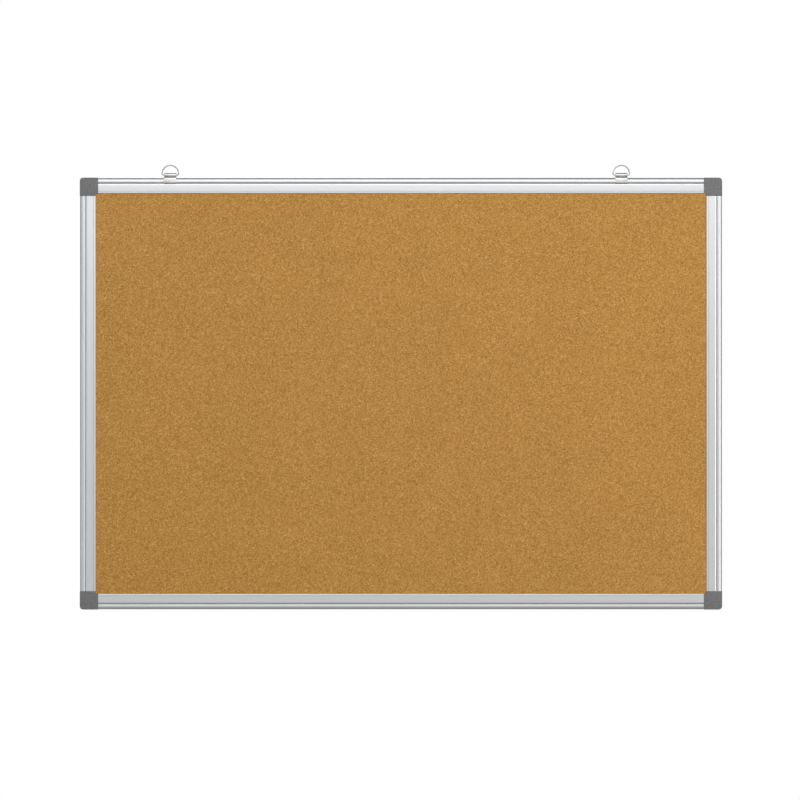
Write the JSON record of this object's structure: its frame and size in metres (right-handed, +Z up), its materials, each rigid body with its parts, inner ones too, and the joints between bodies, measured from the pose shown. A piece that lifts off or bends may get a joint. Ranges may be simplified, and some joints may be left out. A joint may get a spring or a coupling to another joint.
{
  "type": "cork bulletin board",
  "caption": "Wall pin board: a cork-faced panel in a slim aluminium frame with moulded corner caps, hung by wire D-rings in clips that slide along the top rail.",
  "frame": {"origin": "middle of the top rail's flat back land, on the plane of the wall", "axes": "+X to the board's right as a reader sees it, -Y out of the front, +Y into the wall, +Z up"},
  "size_m": [0.9006, 0.0161, 0.6238],
  "materials": {
    "frame_aluminium": "satin",
    "cap_plastic": "matte",
    "screw_steel": "satin",
    "cork": "matte",
    "core_fibreboard": "matte",
    "back_steel": "satin",
    "hanger_steel": "polished"
  },
  "bodies": {
    "board": {"rail_top": "frame_aluminium", "rail_right": "frame_aluminium", "rail_bottom": "frame_aluminium", "rail_left": "frame_aluminium", "corner_cap_top_left": "cap_plastic", "corner_cap_top_right": "cap_plastic", "corner_cap_bottom_right": "cap_plastic", "corner_cap_bottom_left": "cap_plastic", "corner_screw_top_a": "screw_steel", "corner_screw_top_b": "screw_steel", "corner_screw_right_a": "screw_steel", "corner_screw_right_b": "screw_steel", "corner_screw_bottom_a": "screw_steel", "corner_screw_bottom_b": "screw_steel", "corner_screw_left_a": "screw_steel", "corner_screw_left_b": "screw_steel", "cork_sheet": "cork", "core_board": "core_fibreboard", "back_sheet": "back_steel"},
    "clip_left": {"hanger_clip_left": "hanger_steel"},
    "ring_left": {"d_ring_left": "hanger_steel"},
    "clip_right": {"hanger_clip_right": "hanger_steel"},
    "ring_right": {"d_ring_right": "hanger_steel"}
  },
  "joints": [
    {"name": "clip_left_slide", "type": "slide", "parent": "board", "child": "clip_left", "axis": [1, 0, 0], "range_m": [-0.0805, 0.3]},
    {"name": "ring_left_swing", "type": "hinge", "parent": "clip_left", "child": "ring_left", "pos_m": [-0.3235, -0.0075, 0.0182], "axis": [1, 0, 0], "range_deg": [-110, 110]},
    {"name": "clip_right_slide", "type": "slide", "parent": "board", "child": "clip_right", "axis": [1, 0, 0], "range_m": [-0.29, 0.095]},
    {"name": "ring_right_swing", "type": "hinge", "parent": "clip_right", "child": "ring_right", "pos_m": [0.309, -0.0075, 0.0182], "axis": [1, 0, 0], "range_deg": [-110, 110]}
  ]
}
